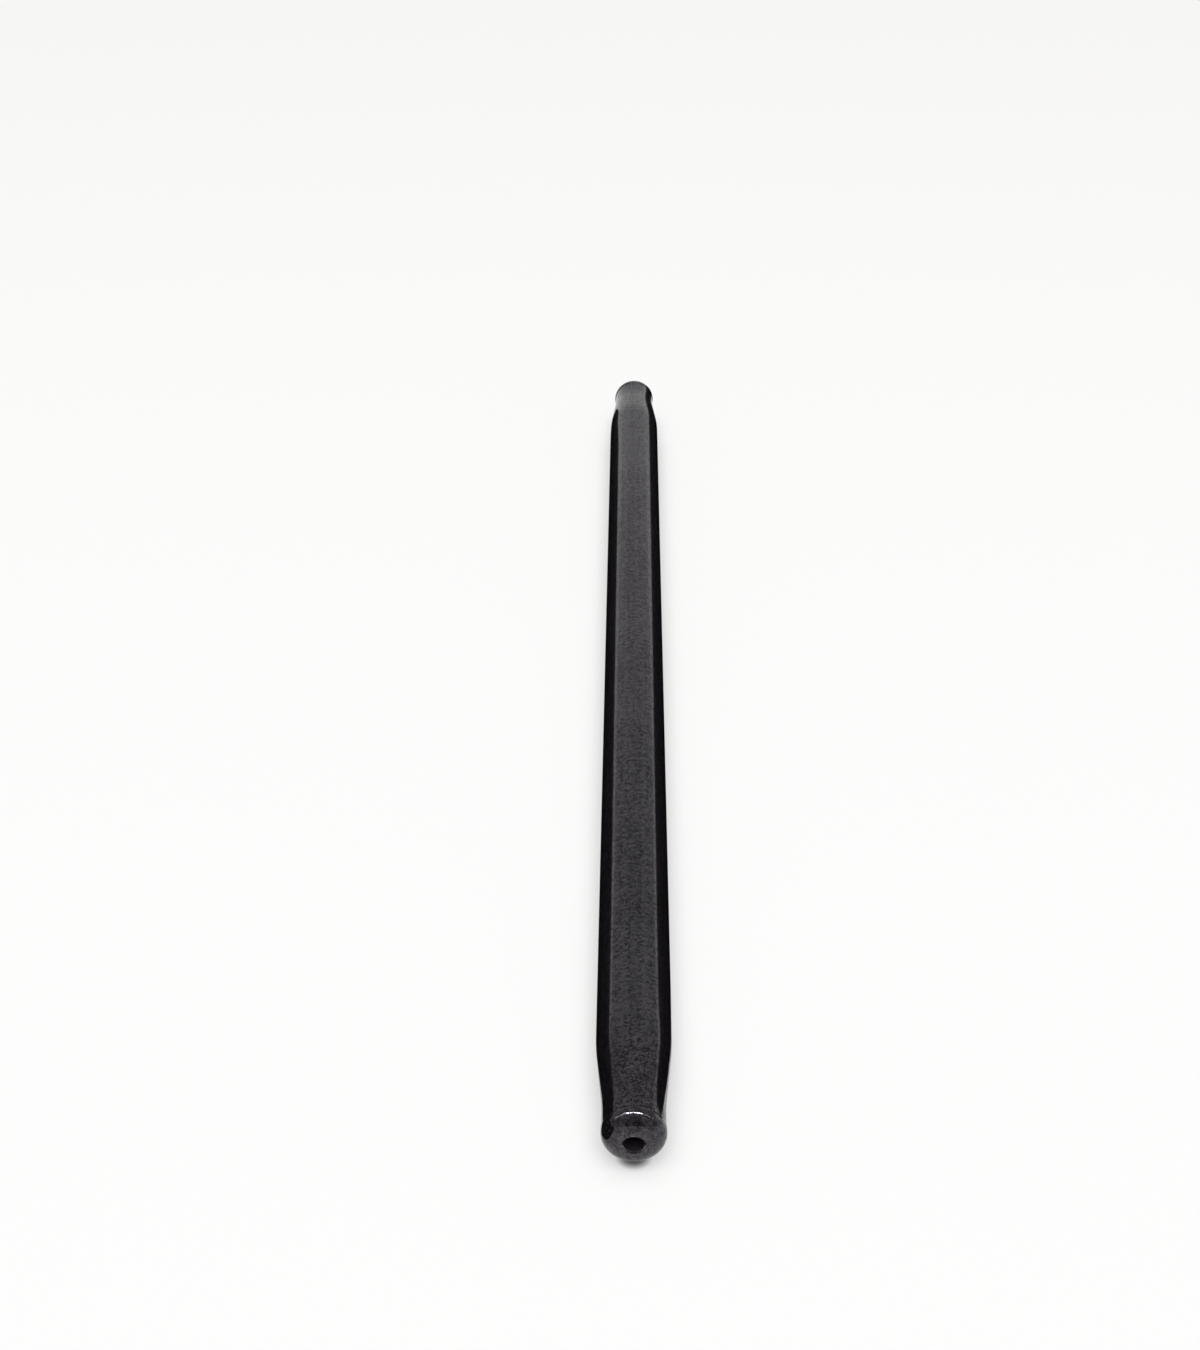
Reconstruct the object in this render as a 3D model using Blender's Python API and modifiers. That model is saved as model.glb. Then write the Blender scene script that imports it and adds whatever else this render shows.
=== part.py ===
"""Engine pushrod: one hardened steel tube whose ends are swaged down to drilled ball ends.

Metres, +Z up. The rod lies level along Y, and the middle of its near ball is the origin.
"""
import math

import bmesh
import bpy

# Driving sizes of the outside
LENGTH = 0.2032             # over the flats of both tips, 8 in
BODY_D = 0.009525           # tube, 3/8 in
BALL_D = 0.0079375          # ball ends, 5/16 in
TIP_CORNER_R = 0.0019       # rounding from each tip's flat to the ball's full width
BALL_BAND_LENGTH = 0.0005   # straight band at the ball's full width
BALL_SHOULDER = 0.00008     # rounded step from the ball down to the neck
NECK_LENGTH = 0.0036        # straight neck from the shoulder to the foot of the cone
SWAGE_LENGTH = 0.0092       # cone between the neck and the full tube
SWAGE_BEND_R = 0.040        # soft bends at the foot and the top of the cone

# Driving sizes of the inside
WALL = 0.002032             # tube wall, 0.080 in
OIL_HOLE_D = 0.00254        # orifice drilled in each tip, 0.100 in
OIL_HOLE_CHAMFER = 0.0002   # broken edge at the mouth of the orifice
OIL_HOLE_LENGTH = 0.0045    # drilled stretch behind each tip
DRILL_CONE_LENGTH = 0.0011  # step from the orifice up to the neck's bore
NECK_BORE_D = 0.0036        # what the swaging leaves of the bore inside the neck

# Fineness of the turned surface
TURN_STEPS = 64
CORNER_STEPS = 12
SHOULDER_STEPS = 3
BEND_STEPS = 4
MERGE_DISTANCE = 0.00001
SHARP_ANGLE = math.radians(30)

STEEL_COLOUR = (0.010, 0.0095, 0.0105, 1.0)
STEEL_ROUGHNESS = 0.31


def arc(centre, radius, start, end, steps):
    """Points (run, radius) on an arc from one angle to another, both ends included."""
    points = []
    for i in range(steps + 1):
        angle = start + (end - start) * i / steps
        points.append((centre[0] + radius * math.cos(angle), centre[1] + radius * math.sin(angle)))
    return points


def bend(before, corner, after, radius, steps):
    """Points of the arc that rounds one corner of a line, kept inside the two stretches it joins."""
    ax, ay = before[0] - corner[0], before[1] - corner[1]
    bx, by = after[0] - corner[0], after[1] - corner[1]
    a_length, b_length = math.hypot(ax, ay), math.hypot(bx, by)
    ax, ay, bx, by = ax / a_length, ay / a_length, bx / b_length, by / b_length
    half_angle = 0.5 * math.acos(ax * bx + ay * by)
    reach = min(radius / math.tan(half_angle), a_length / 2, b_length / 2)
    radius = reach * math.tan(half_angle)
    middle = math.hypot(ax + bx, ay + by)
    distance = radius / math.sin(half_angle)
    centre = (corner[0] + (ax + bx) / middle * distance, corner[1] + (ay + by) / middle * distance)
    start = math.atan2(corner[1] + ay * reach - centre[1], corner[0] + ax * reach - centre[0])
    end = math.atan2(corner[1] + by * reach - centre[1], corner[0] + bx * reach - centre[0])
    turn = (end - start + math.pi) % (2 * math.pi) - math.pi
    return arc(centre, radius, start, start + turn, steps)


def stations():
    """Runs from the tip's flat to the ball's middle, both ends of the neck and the top of the cone."""
    ball_middle = TIP_CORNER_R + BALL_BAND_LENGTH / 2
    neck_start = TIP_CORNER_R + BALL_BAND_LENGTH + BALL_SHOULDER
    neck_end = neck_start + NECK_LENGTH
    return ball_middle, neck_start, neck_end, neck_end + SWAGE_LENGTH


def outside_of_end():
    """Outside of one end as (run from the tip's flat, radius), up to the full tube."""
    neck_start, neck_end, cone_end = stations()[1:]
    ball_r, body_r = BALL_D / 2, BODY_D / 2
    neck_r = ball_r - BALL_SHOULDER
    tip_middle = (TIP_CORNER_R, ball_r - TIP_CORNER_R)
    shoulder_middle = (TIP_CORNER_R + BALL_BAND_LENGTH, neck_r)
    neck, cone_foot = (neck_start, neck_r), (neck_end, neck_r)
    cone_top, tube = (cone_end, body_r), (cone_end + SWAGE_LENGTH, body_r)
    points = arc(tip_middle, TIP_CORNER_R, math.pi, math.pi / 2, CORNER_STEPS)
    points += arc(shoulder_middle, BALL_SHOULDER, math.pi / 2, 0.0, SHOULDER_STEPS)
    points += bend(neck, cone_foot, cone_top, SWAGE_BEND_R, BEND_STEPS)
    points += bend(cone_foot, cone_top, tube, SWAGE_BEND_R, BEND_STEPS)
    return points


def oil_way_of_end():
    """Oil way of one end as (run from the tip's flat, radius), up to the tube's full bore."""
    neck_end, cone_end = stations()[2:]
    hole_r, neck_bore_r, bore_r = OIL_HOLE_D / 2, NECK_BORE_D / 2, BODY_D / 2 - WALL
    return [
        (0.0, hole_r + OIL_HOLE_CHAMFER),
        (OIL_HOLE_CHAMFER, hole_r),
        (OIL_HOLE_LENGTH, hole_r),
        (OIL_HOLE_LENGTH + DRILL_CONE_LENGTH, neck_bore_r),
        (neck_end, neck_bore_r),
        (cone_end, bore_r),
    ]


def section():
    """Closed outline (height, radius) with the near ball's middle at height 0 and its tip on top.

    It runs down the outside to the far tip, and back up through the oil way.
    """
    near_tip = stations()[0]
    far_tip = near_tip - LENGTH
    outside, oil_way = outside_of_end(), oil_way_of_end()
    outline = [(near_tip - run, radius) for run, radius in outside]
    outline += [(far_tip + run, radius) for run, radius in reversed(outside)]
    outline += [(far_tip + run, radius) for run, radius in oil_way]
    outline += [(near_tip - run, radius) for run, radius in reversed(oil_way)]
    return outline


def turned(name, outline, collection):
    """Object turned about its own Z axis from a closed outline, smooth but for its true edges."""
    profile = bmesh.new()
    verts = [profile.verts.new((radius, 0.0, height)) for height, radius in outline]
    for i, vert in enumerate(verts):
        profile.edges.new((vert, verts[(i + 1) % len(verts)]))
    mesh = bpy.data.meshes.new(name)
    profile.to_mesh(mesh)
    profile.free()
    piece = bpy.data.objects.new(name, mesh)
    collection.objects.link(piece)
    turn = piece.modifiers.new("turn", "SCREW")
    turn.axis = "Z"
    turn.angle = 2 * math.pi
    turn.steps = TURN_STEPS
    turn.render_steps = TURN_STEPS
    turn.use_merge_vertices = True
    turn.merge_threshold = MERGE_DISTANCE
    # The turned surface becomes the object's own mesh, because sharp edges can only be marked there
    evaluated = piece.evaluated_get(bpy.context.evaluated_depsgraph_get())
    piece.data = bpy.data.meshes.new_from_object(evaluated)
    piece.modifiers.clear()
    piece.data.shade_smooth()
    piece.data.set_sharp_from_angle(angle=SHARP_ANGLE)
    return piece


def black_oxide():
    material = bpy.data.materials.new("black_oxide_steel")
    material.use_nodes = True
    material.diffuse_color = STEEL_COLOUR
    shader = material.node_tree.nodes["Principled BSDF"]
    shader.inputs["Base Color"].default_value = STEEL_COLOUR
    shader.inputs["Metallic"].default_value = 0.0
    shader.inputs["Roughness"].default_value = STEEL_ROUGHNESS
    return material


def build():
    for item in list(bpy.data.objects):
        bpy.data.objects.remove(item, do_unlink=True)
    collection = bpy.data.collections.new("engine_pushrod")
    bpy.context.scene.collection.children.link(collection)
    pushrod = turned("pushrod", section(), collection)
    # A quarter turn about X lays the near tip towards -Y
    pushrod.rotation_euler = (math.pi / 2, 0.0, 0.0)
    pushrod.data.materials.append(black_oxide())


build()
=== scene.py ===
"""Black oxide engine pushrod on a white floor, seen from above its near end.

Metres, +Z up, in the row frame: the rod lies along Y and its near ball's middle is the origin.
"""

import math

import bmesh
import bpy
from mathutils import Matrix, Vector


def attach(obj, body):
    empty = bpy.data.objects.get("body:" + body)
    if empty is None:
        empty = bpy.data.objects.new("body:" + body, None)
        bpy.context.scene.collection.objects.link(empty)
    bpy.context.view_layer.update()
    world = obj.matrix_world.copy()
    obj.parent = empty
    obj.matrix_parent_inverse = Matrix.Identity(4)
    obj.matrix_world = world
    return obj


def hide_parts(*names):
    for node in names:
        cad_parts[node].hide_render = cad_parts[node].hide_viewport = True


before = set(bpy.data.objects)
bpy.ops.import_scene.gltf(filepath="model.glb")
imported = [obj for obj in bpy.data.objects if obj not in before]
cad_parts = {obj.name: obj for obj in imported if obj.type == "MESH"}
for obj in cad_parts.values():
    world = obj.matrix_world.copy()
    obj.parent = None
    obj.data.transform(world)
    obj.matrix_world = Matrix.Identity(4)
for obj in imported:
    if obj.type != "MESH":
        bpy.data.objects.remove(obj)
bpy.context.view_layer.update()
bpy.context.scene.view_settings.view_transform = "Standard"

# Outside of the rod
LENGTH = 0.2032             # over the flats of both tips
BODY_R = 0.0047625
BALL_R = 0.00396875
TIP_CORNER_R = 0.0019       # rounding from each tip's flat to the ball's full width
BALL_BAND_LENGTH = 0.0005   # straight band at the ball's full width
BALL_SHOULDER = 0.00008     # rounded step from the ball down to the neck
NECK_LENGTH = 0.0036
SWAGE_LENGTH = 0.0092       # cone between the neck and the full tube
SWAGE_BEND_R = 0.040        # soft bends at the foot and the top of the cone

# Oil way through the rod
BORE_R = 0.0027305
OIL_HOLE_R = 0.00127
OIL_HOLE_CHAMFER = 0.0002
OIL_HOLE_LENGTH = 0.0045
DRILL_CONE_LENGTH = 0.0011  # step from the drilled hole up to the neck's bore
NECK_BORE_R = 0.0018

# Runs from a tip's flat, and the neck's radius
BALL_MIDDLE = TIP_CORNER_R + BALL_BAND_LENGTH / 2
BALL_END = TIP_CORNER_R + BALL_BAND_LENGTH
NECK_START = BALL_END + BALL_SHOULDER
NECK_END = NECK_START + NECK_LENGTH
CONE_END = NECK_END + SWAGE_LENGTH
NECK_R = BALL_R - BALL_SHOULDER

# Fineness of the turned surface
TURN_STEPS = 192
NOSE_STEPS = 28
SHOULDER_STEPS = 6
BEND_STEPS = 8
SHARP_ANGLE = math.radians(32)

# Camera, from the fit to the photographed row of rods
CAMERA_AT = (-0.00069, -0.13877 - BALL_MIDDLE, 0.1618)
CAMERA_PITCH = math.radians(34.38)
CAMERA_YAW = math.radians(-1.175)
CAMERA_ROLL = math.radians(-0.462)
CAMERA_LENS = 46.82
CAMERA_SENSOR = 36.0
CAMERA_CLIP = 0.005

# Noises of the finish: cells to the metre across and along the rod, detail, roughness
RINGS = (140.0, 7000.0, 2.0, 0.6)
COARSE_RINGS = (60.0, 1800.0, 2.0, 0.55)
GRAIN = (4400.0, 5400.0, 1.0, 0.6)
COARSE_GRAIN = (1300.0, 2000.0, 1.0, 0.6)
STREAKS = (1900.0, 20.0, 3.0, 0.55)
CLOUDS = (110.0, 60.0, 4.0, 0.55)
DENTS = (1000.0, 1000.0, 3.0, 0.55)
SPECKS_AND_GLINTS = (3000.0, 3000.0, 1.0, 0.55)

# Colours of the finish
THIN_FILM = (0.0032, 0.0025, 0.0034, 1.0)
THICK_FILM = (0.0092, 0.0078, 0.0092, 1.0)
# Grey of the specks on the balls: dust and polish marks, and also painted glints
SPECK_AND_GLINT_COLOUR = (0.045, 0.042, 0.045, 1.0)
RESIDUE_COLOUR = (0.024, 0.020, 0.024, 1.0)
GLOSS_TINT = (0.95, 0.895, 1.0, 1.0)

# Gloss under a thin and a thick film, with what the ball's dents add, and the mean roughness
BODY_GLOSS = (0.18, 0.94)
BALL_GLOSS = (0.20, 0.58)
DENT_GLOSS = 0.34
BODY_ROUGHNESS = 0.125
BALL_ROUGHNESS = 0.085
BUMP_DEPTH = 0.0000035
# Last stretch of the ball, over which its finish gives way to the body's
FINISH_BLEND = 0.00012
# The residue fades out between these distances outside the oil hole's wall
RESIDUE_FADE = (0.00002, 0.00008)

# Floor: a disc that turns up into a low wall all round
FLOOR_MIDDLE = (0.0, 0.1, -BODY_R)
FLOOR_R = 4.4
COVE_R = 0.6
WALL_TOP = 1.1
COVE_STEPS = 16
ROUND_STEPS = 96
FLOOR_COLOUR = (0.86, 0.857, 0.850, 1.0)
# Colour painted into the floor as the rod's contact shadow
PAINTED_SHADOW_COLOUR = (0.09, 0.085, 0.08, 1.0)
# How near the rod has to be for the painted dark contact shadow and for the painted soft shade around
# it
CONTACT_REACH = 0.0014
SHADE_REACH = 0.005
# How much of the floor's look is its even glow, and the glow's colour from near to far
GLOW = 0.84
GLOW_NEAR = (0.998, 0.996, 0.992, 1.0)
GLOW_FAR = (0.968, 0.964, 0.953, 1.0)
GLOW_SPAN = (-0.1, 0.6)

# Flags: each one's side and its shift along the rod, and the slit between it and the rod
FLAGS = {"left_flag": (-1.0, -0.0035), "right_flag": (1.0, 0.0111)}
FLAG_GAP = 0.0001
FLAG_COLOUR = (0.004, 0.003, 0.004, 1.0)

# Room: its colours low down, overhead, at the sides and in the dim patch behind the camera
ROOM_LOW = (0.81, 0.807, 0.81, 1.0)
ROOM_TOP = (0.44, 0.436, 0.45, 1.0)
ROOM_SIDES = (0.52, 0.515, 0.525, 1.0)
ROOM_DIM = (0.22, 0.20, 0.22, 1.0)
# The dim patch's height above the horizon, its soft rim, and how much narrower it is than high
DIM_ELEVATION = math.radians(30)
DIM_INNER = math.radians(18)
DIM_OUTER = math.radians(50)
DIM_NARROWING = 0.6

# Lamps: length, width, power, height above the horizon ahead, distance from the near ball
BAR = (4.4, 0.05, 9.0, math.radians(71.5), 1.15)
SOFTBOX = (1.05, 0.06, 24.0, math.radians(71.5), 1.13)
FILL = (1.6, 1.0, 12.0, math.radians(112), 1.15)


def add_object(name, data, location=(0.0, 0.0, 0.0)):
    item = bpy.data.objects.new(name, data)
    item.location = location
    bpy.context.scene.collection.objects.link(item)
    return item


def place_camera():
    data = bpy.data.cameras.new("camera")
    data.sensor_width = CAMERA_SENSOR
    data.lens = CAMERA_LENS
    data.clip_start = CAMERA_CLIP
    camera = add_object("camera", data)
    forward = Vector((
        math.sin(CAMERA_YAW) * math.cos(CAMERA_PITCH),
        math.cos(CAMERA_YAW) * math.cos(CAMERA_PITCH),
        -math.sin(CAMERA_PITCH),
    ))
    level = Vector((math.cos(CAMERA_YAW), -math.sin(CAMERA_YAW), 0.0))
    upright = level.cross(forward)
    right = math.cos(CAMERA_ROLL) * level + math.sin(CAMERA_ROLL) * upright
    up = -math.sin(CAMERA_ROLL) * level + math.cos(CAMERA_ROLL) * upright
    place = Matrix((right, up, -forward)).transposed().to_4x4()
    place.translation = Vector(CAMERA_AT)
    camera.matrix_world = place
    bpy.context.scene.camera = camera


# Shape of the rod

def arc(centre, radius, start, end, steps):
    """Points (run, radius) on an arc from one angle to another, both ends included."""
    points = []
    for i in range(steps + 1):
        angle = start + (end - start) * i / steps
        points.append((centre[0] + radius * math.cos(angle), centre[1] + radius * math.sin(angle)))
    return points


def bend(before, corner, after, radius, steps):
    """Points of the arc that rounds one corner, kept inside the two stretches it joins."""
    a = Vector(before) - Vector(corner)
    b = Vector(after) - Vector(corner)
    half_angle = 0.5 * a.angle(b)
    reach = min(radius / math.tan(half_angle), a.length / 2, b.length / 2)
    radius = reach * math.tan(half_angle)
    middle = (a.normalized() + b.normalized()).normalized()
    centre = Vector(corner) + middle * radius / math.sin(half_angle)
    first = Vector(corner) + a.normalized() * reach - centre
    last = Vector(corner) + b.normalized() * reach - centre
    start = math.atan2(first.y, first.x)
    turn = (math.atan2(last.y, last.x) - start + math.pi) % (2 * math.pi) - math.pi
    return arc(centre, radius, start, start + turn, steps)


def outside_of_end():
    """Outside of one end as (run from the tip's flat, radius), up to the full tube."""
    nose_middle = (TIP_CORNER_R, BALL_R - TIP_CORNER_R)
    shoulder_middle = (BALL_END, NECK_R)
    neck, cone_foot = (NECK_START, NECK_R), (NECK_END, NECK_R)
    cone_top, tube = (CONE_END, BODY_R), (CONE_END + SWAGE_LENGTH, BODY_R)
    points = arc(nose_middle, TIP_CORNER_R, math.pi, math.pi / 2, NOSE_STEPS)
    points += arc(shoulder_middle, BALL_SHOULDER, math.pi / 2, 0.0, SHOULDER_STEPS)
    points += bend(neck, cone_foot, cone_top, SWAGE_BEND_R, BEND_STEPS)
    points += bend(cone_foot, cone_top, tube, SWAGE_BEND_R, BEND_STEPS)
    return points


def oil_way_of_end():
    """Oil way of one end as (run from the tip's flat, radius), up to the tube's full bore."""
    return [
        (0.0, OIL_HOLE_R + OIL_HOLE_CHAMFER),
        (OIL_HOLE_CHAMFER, OIL_HOLE_R),
        (OIL_HOLE_LENGTH, OIL_HOLE_R),
        (OIL_HOLE_LENGTH + DRILL_CONE_LENGTH, NECK_BORE_R),
        (NECK_END, NECK_BORE_R),
        (CONE_END, BORE_R),
    ]


def rod_mesh():
    """The rod turned about Y from a closed outline: out along its outside, back along the oil way."""
    near, far = -BALL_MIDDLE, LENGTH - BALL_MIDDLE
    outside, oil_way = outside_of_end(), oil_way_of_end()
    outline = [(near + run, radius) for run, radius in outside]
    outline += [(far - run, radius) for run, radius in reversed(outside)]
    outline += [(far - run, radius) for run, radius in oil_way]
    outline += [(near + run, radius) for run, radius in reversed(oil_way)]
    verts, faces = [], []
    for y, radius in outline:
        for k in range(TURN_STEPS):
            angle = 2 * math.pi * k / TURN_STEPS
            verts.append((radius * math.cos(angle), y, radius * math.sin(angle)))
    for i in range(len(outline)):
        this, following = i * TURN_STEPS, (i + 1) % len(outline) * TURN_STEPS
        for k in range(TURN_STEPS):
            n = (k + 1) % TURN_STEPS
            faces.append((this + k, following + k, following + n, this + n))
    mesh = bpy.data.meshes.new("pushrod_turned")
    mesh.from_pydata(verts, [], faces)
    mesh.validate()
    mesh.shade_smooth()
    mesh.set_sharp_from_angle(angle=SHARP_ANGLE)
    return mesh


# Finish of the rod

class Nodes:
    """Short ways of adding linked shader nodes to one node tree."""

    def __init__(self, tree):
        self.tree = tree

    def add(self, kind, **settings):
        node = self.tree.nodes.new(kind)
        for name, value in settings.items():
            setattr(node, name, value)
        return node

    def feed(self, socket, value):
        """Links a socket to another one, or gives it a plain value."""
        if isinstance(value, bpy.types.NodeSocket):
            self.tree.links.new(value, socket)
        else:
            socket.default_value = value

    def split(self, vector):
        """The vector's x, y and z."""
        node = self.add("ShaderNodeSeparateXYZ")
        self.feed(node.inputs[0], vector)
        return node.outputs

    def maths(self, operation, a, b=0.0, c=0.0):
        node = self.add("ShaderNodeMath", operation=operation)
        for socket, value in zip(node.inputs, (a, b, c)):
            self.feed(socket, value)
        return node.outputs[0]

    def weigh(self, *parts):
        """Sum of (value, weight) pairs."""
        total = 0.0
        for value, weight in parts:
            total = self.maths("MULTIPLY_ADD", value, weight, total)
        return total

    def sway(self, base, noise, amount):
        """base, moved up and down by a noise about its middle."""
        return self.maths("MULTIPLY_ADD", self.maths("SUBTRACT", noise, 0.5), amount, base)

    def ramp(self, value, low, high, to_low=0.0, to_high=1.0):
        """value from low to high, smoothly, as to_low to to_high."""
        node = self.add("ShaderNodeMapRange", interpolation_type="SMOOTHSTEP")
        for socket, number in zip(node.inputs, (value, low, high, to_low, to_high)):
            self.feed(socket, number)
        return node.outputs[0]

    def noise(self, place, across, along, detail, roughness):
        """Noise with so many cells to the metre across and along the rod."""
        stretch = self.add("ShaderNodeMapping")
        self.feed(stretch.inputs["Vector"], place)
        stretch.inputs["Scale"].default_value = (across, along, across)
        node = self.add("ShaderNodeTexNoise")
        self.feed(node.inputs["Vector"], stretch.outputs[0])
        node.inputs["Scale"].default_value = 1.0
        node.inputs["Detail"].default_value = detail
        node.inputs["Roughness"].default_value = roughness
        return node.outputs["Fac"]

    def mix(self, factor, a, b):
        """Colour a, turning into colour b with the factor."""
        node = self.add("ShaderNodeMix", data_type="RGBA")
        self.feed(node.inputs[0], factor)
        self.feed(node.inputs[6], a)
        self.feed(node.inputs[7], b)
        return node.outputs[2]

    def blend(self, factor, a, b):
        """Number a, turning into number b with the factor."""
        node = self.add("ShaderNodeMix", data_type="FLOAT")
        self.feed(node.inputs[0], factor)
        self.feed(node.inputs[2], a)
        self.feed(node.inputs[3], b)
        return node.outputs[0]


def new_material(name):
    """A material, its nodes and its shader."""
    material = bpy.data.materials.new(name)
    material.use_nodes = True
    return material, Nodes(material.node_tree), material.node_tree.nodes["Principled BSDF"]


def share_on_ball(n, y):
    """1 on both balls and 0 on the body, by the run from the nearer tip's flat."""
    from_middle = n.maths("ABSOLUTE", n.maths("SUBTRACT", y, LENGTH / 2 - BALL_MIDDLE))
    run = n.maths("SUBTRACT", LENGTH / 2, from_middle)
    return n.ramp(run, BALL_END - FINISH_BLEND, BALL_END, 1.0, 0.0)


def share_in_oil_way(n, x, z):
    """1 on the oil way's wall and 0 outside it, by the distance from the rod's axis."""
    across = n.add("ShaderNodeCombineXYZ")
    n.feed(across.inputs[0], x)
    n.feed(across.inputs[1], z)
    radius = n.add("ShaderNodeVectorMath", operation="LENGTH")
    n.feed(radius.inputs[0], across.outputs[0])
    fade_start, fade_end = (OIL_HOLE_R + distance for distance in RESIDUE_FADE)
    return n.ramp(radius.outputs["Value"], fade_start, fade_end, 1.0, 0.0)


def black_oxide():
    """Blacked and oiled steel: a finely speckled film over faint grinding rings, glossier balls."""
    material, n, shader = new_material("black_oxide_steel")
    place = n.add("ShaderNodeTexCoord").outputs["Object"]
    x, y, z = n.split(place)
    on_ball = share_on_ball(n, y)
    rings = n.noise(place, *RINGS)
    grain = n.noise(place, *GRAIN)
    streaks = n.noise(place, *STREAKS)
    clouds = n.noise(place, *CLOUDS)
    dents = n.noise(place, *DENTS)

    # The film is a fine speckle, with a little of the rings, streaks and clouds in it
    film = n.weigh((rings, 0.14), (grain, 0.60), (n.noise(place, *COARSE_GRAIN), 0.26))
    film = n.sway(n.sway(film, streaks, 0.12), clouds, 0.10)
    film = n.ramp(film, 0.42, 0.58)

    # Small grey specks are scattered over the balls, partly dust and polish marks and partly painted
    # glints, and the oil way holds a dull residue
    colour = n.mix(film, THIN_FILM, THICK_FILM)
    specks_and_glints = n.ramp(n.noise(place, *SPECKS_AND_GLINTS), 0.64, 0.74)
    colour = n.mix(n.maths("MULTIPLY", specks_and_glints, on_ball), colour, SPECK_AND_GLINT_COLOUR)
    colour = n.mix(share_in_oil_way(n, x, z), colour, RESIDUE_COLOUR)
    n.feed(shader.inputs["Base Color"], colour)

    body_gloss = n.ramp(film, 0.0, 1.0, *BODY_GLOSS)
    dented = n.ramp(dents, 0.35, 0.65)
    ball_gloss = n.maths("MULTIPLY_ADD", dented, DENT_GLOSS, n.ramp(film, 0.0, 1.0, *BALL_GLOSS))
    n.feed(shader.inputs["Specular IOR Level"], n.blend(on_ball, body_gloss, ball_gloss))

    body_rough = n.sway(n.sway(n.sway(BODY_ROUGHNESS, rings, 0.05), grain, 0.05), clouds, 0.06)
    ball_rough = n.sway(BALL_ROUGHNESS, grain, 0.12)
    n.feed(shader.inputs["Roughness"], n.blend(on_ball, body_rough, ball_rough))

    coarse_rings = n.noise(place, *COARSE_RINGS)
    body_height = n.weigh((coarse_rings, 0.3), (rings, 0.4), (grain, 0.5), (streaks, 0.12))
    ball_height = n.weigh((dents, 6.0), (grain, 1.6))
    bump = n.add("ShaderNodeBump")
    bump.inputs["Strength"].default_value = 1.0
    bump.inputs["Distance"].default_value = BUMP_DEPTH
    n.feed(bump.inputs["Height"], n.blend(on_ball, body_height, ball_height))
    n.feed(shader.inputs["Normal"], bump.outputs[0])

    shader.inputs["Metallic"].default_value = 0.0
    shader.inputs["IOR"].default_value = 1.5
    shader.inputs["Specular Tint"].default_value = GLOSS_TINT
    return material


def add_rod():
    rod = add_object("pushrod_turned", rod_mesh())
    rod.data.materials.append(black_oxide())
    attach(rod, "root")
    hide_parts("pushrod")


# Floor

def floor_mesh():
    """A level disc that bends up through a cove into a low round wall."""
    profile = [(0.0, 0.0)] + arc((FLOOR_R, COVE_R), COVE_R, -math.pi / 2, 0.0, COVE_STEPS)
    profile.append((FLOOR_R + COVE_R, WALL_TOP))
    bm = bmesh.new()
    verts = [bm.verts.new((run, 0.0, height)) for run, height in profile]
    edges = [bm.edges.new(pair) for pair in zip(verts, verts[1:])]
    bmesh.ops.spin(
        bm, geom=verts + edges, axis=(0, 0, 1), angle=2 * math.pi, steps=ROUND_STEPS, use_merge=True
    )
    bmesh.ops.remove_doubles(bm, verts=bm.verts, dist=0.0001)
    mesh = bpy.data.meshes.new("floor")
    bm.to_mesh(mesh)
    bm.free()
    mesh.shade_smooth()
    return mesh


def share_open(n, reach, low, high, to_low):
    """1 on the open floor, falling to to_low where the rod is nearer than the reach: the mask of the
    shade painted into the floor.
    """
    occlusion = n.add("ShaderNodeAmbientOcclusion", samples=8)
    occlusion.inputs["Distance"].default_value = reach
    return n.ramp(occlusion.outputs["AO"], low, high, to_low, 1.0)


def white_floor():
    """White paper as an overexposed photo has it: mostly its own even glow, but for the shadows,
    which are painted into its colour.

    The glow is what the camera, gloss and glass see, and it lights nothing.
    """
    material, n, shader = new_material("white_floor")
    shader.inputs["Roughness"].default_value = 0.7
    shader.inputs["Specular IOR Level"].default_value = 0.2
    # Painted shadow: where ambient occlusion finds the rod near, the floor's colour darkens towards
    # the painted shadow colour and its glow fades
    contact = share_open(n, CONTACT_REACH, 0.5, 0.88, 0.0)
    shade = share_open(n, SHADE_REACH, 0.35, 0.95, 0.55)
    clear = n.maths("MULTIPLY", contact, shade)
    n.feed(shader.inputs["Base Color"], n.mix(clear, PAINTED_SHADOW_COLOUR, FLOOR_COLOUR))

    glow = n.add("ShaderNodeEmission")
    y = n.split(n.add("ShaderNodeNewGeometry").outputs["Position"])[1]
    n.feed(glow.inputs["Color"], n.mix(n.ramp(y, *GLOW_SPAN), GLOW_NEAR, GLOW_FAR))
    glow.inputs["Strength"].default_value = 1.0
    rays = n.add("ShaderNodeLightPath").outputs
    seen = n.maths("ADD", rays["Is Camera Ray"], rays["Is Glossy Ray"])
    seen = n.maths("MINIMUM", n.maths("ADD", seen, rays["Is Transmission Ray"]), 1.0)
    both = n.add("ShaderNodeMixShader")
    n.feed(both.inputs[0], n.maths("MULTIPLY", n.maths("MULTIPLY", seen, GLOW), clear))
    n.feed(both.inputs[1], shader.outputs[0])
    n.feed(both.inputs[2], glow.outputs[0])
    n.feed(material.node_tree.nodes["Material Output"].inputs["Surface"], both.outputs[0])
    return material


def lay_floor():
    floor = add_object("floor", floor_mesh(), FLOOR_MIDDLE)
    floor.data.materials.append(white_floor())


# Light

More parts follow.
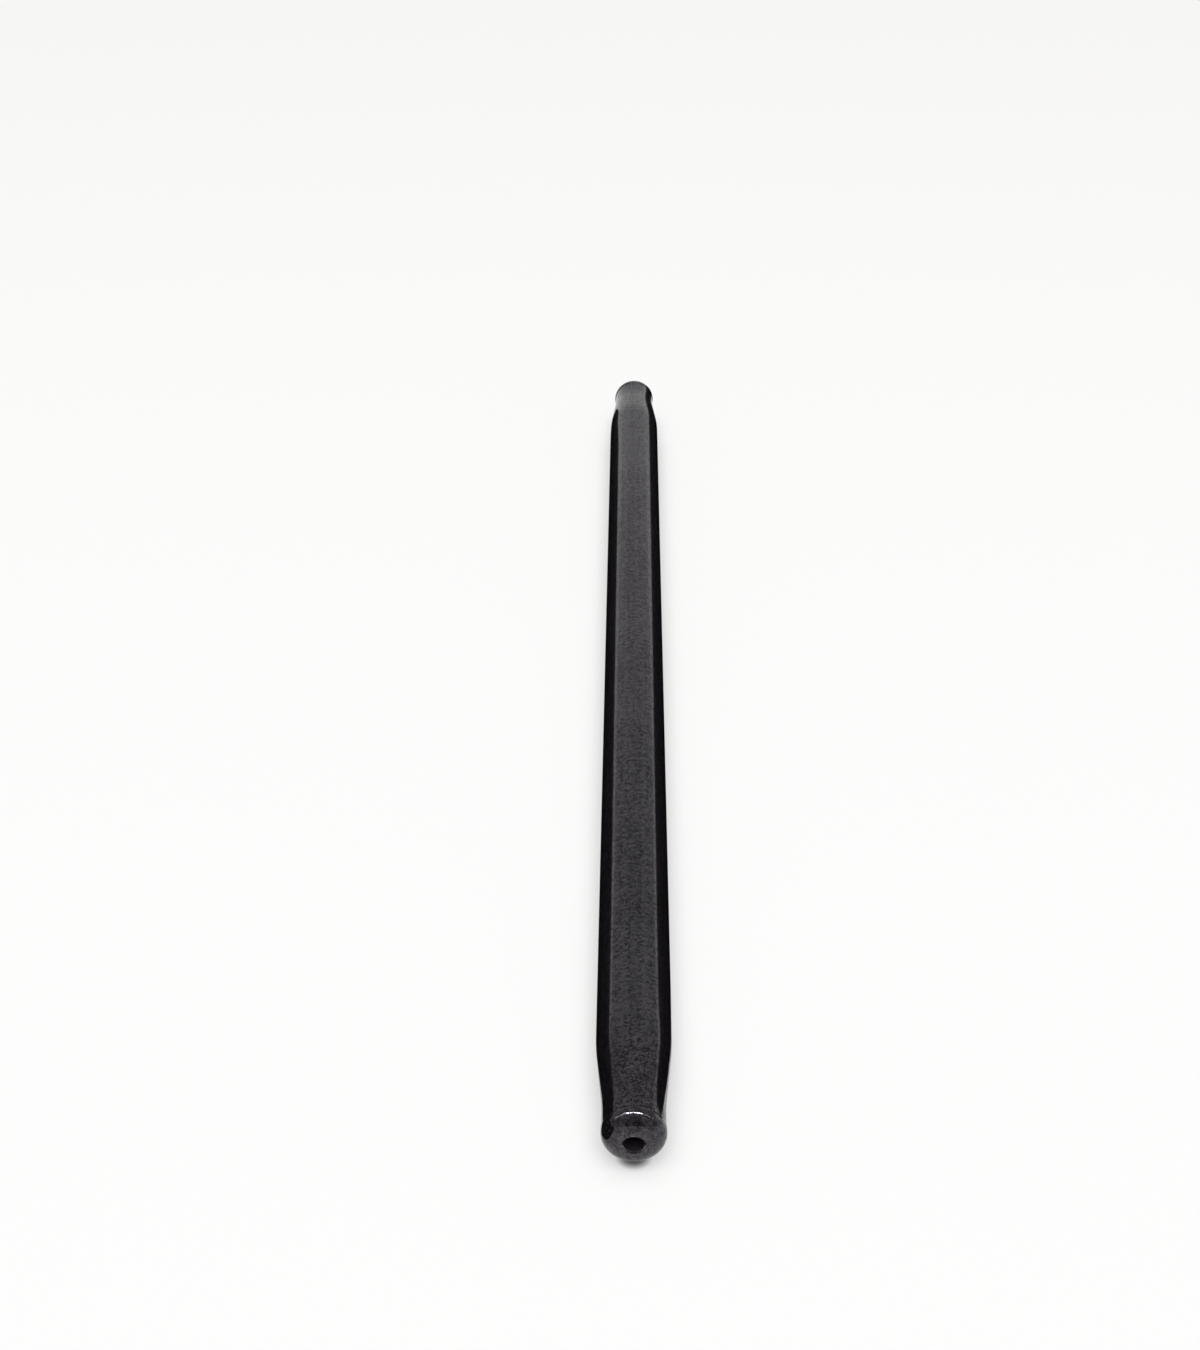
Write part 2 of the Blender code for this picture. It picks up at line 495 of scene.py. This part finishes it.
def stand_flags():
    """Black flags of the rod's outline at both sides, seen only as the dark bands along the rod."""
    material, _, shader = new_material("black_flag")
    shader.inputs["Base Color"].default_value = FLAG_COLOUR
    shader.inputs["Roughness"].default_value = 0.9
    shader.inputs["Specular IOR Level"].default_value = 0.1
    for name, (side, shift) in FLAGS.items():
        flag = add_object(name, rod_mesh(), (side * (2 * BODY_R + FLAG_GAP), shift, 0.0))
        flag.data.materials.append(material)
        flag.visible_camera = False
        flag.visible_diffuse = False
        flag.visible_shadow = False


def light_room():
    """A pale room that greys overhead and at the sides, dim behind the camera."""
    world = bpy.data.worlds.new("studio")
    bpy.context.scene.world = world
    world.use_nodes = True
    n = Nodes(world.node_tree)
    x, y, z = n.split(n.add("ShaderNodeTexCoord").outputs["Generated"])
    room = n.mix(n.ramp(z, 0.25, 1.0), ROOM_LOW, ROOM_TOP)
    room = n.mix(n.ramp(n.maths("ABSOLUTE", x), 0.15, 0.75), room, ROOM_SIDES)
    # The dot product with the dim patch's own direction, less where the view turns aside
    behind = n.maths("MULTIPLY", y, -math.cos(DIM_ELEVATION))
    behind = n.maths("MULTIPLY_ADD", z, math.sin(DIM_ELEVATION), behind)
    behind = n.maths("MULTIPLY_ADD", n.maths("MULTIPLY", x, x), -DIM_NARROWING, behind)
    dim = n.ramp(behind, math.cos(DIM_OUTER), math.cos(DIM_INNER))
    background = world.node_tree.nodes["Background"]
    n.feed(background.inputs["Color"], n.mix(dim, room, ROOM_DIM))
    background.inputs["Strength"].default_value = 1.0


def hang_lamp(name, length, width, power, elevation, distance, in_gloss):
    """Area lamp aimed at the near ball, which lights either gloss alone or matt colour alone."""
    data = bpy.data.lights.new(name, "AREA")
    data.shape = "RECTANGLE"
    data.size = length
    data.size_y = width
    data.energy = power
    direction = Vector((0.0, math.cos(elevation), math.sin(elevation)))
    lamp = add_object(name, data, distance * direction)
    # A lamp shines along its own -Z
    lamp.rotation_euler = (elevation - math.pi / 2, 0.0, 0.0)
    lamp.visible_glossy = in_gloss
    lamp.visible_diffuse = not in_gloss


place_camera()
add_rod()
lay_floor()
stand_flags()
light_room()
hang_lamp("bar", *BAR, in_gloss=True)
hang_lamp("softbox", *SOFTBOX, in_gloss=True)
hang_lamp("fill", *FILL, in_gloss=False)
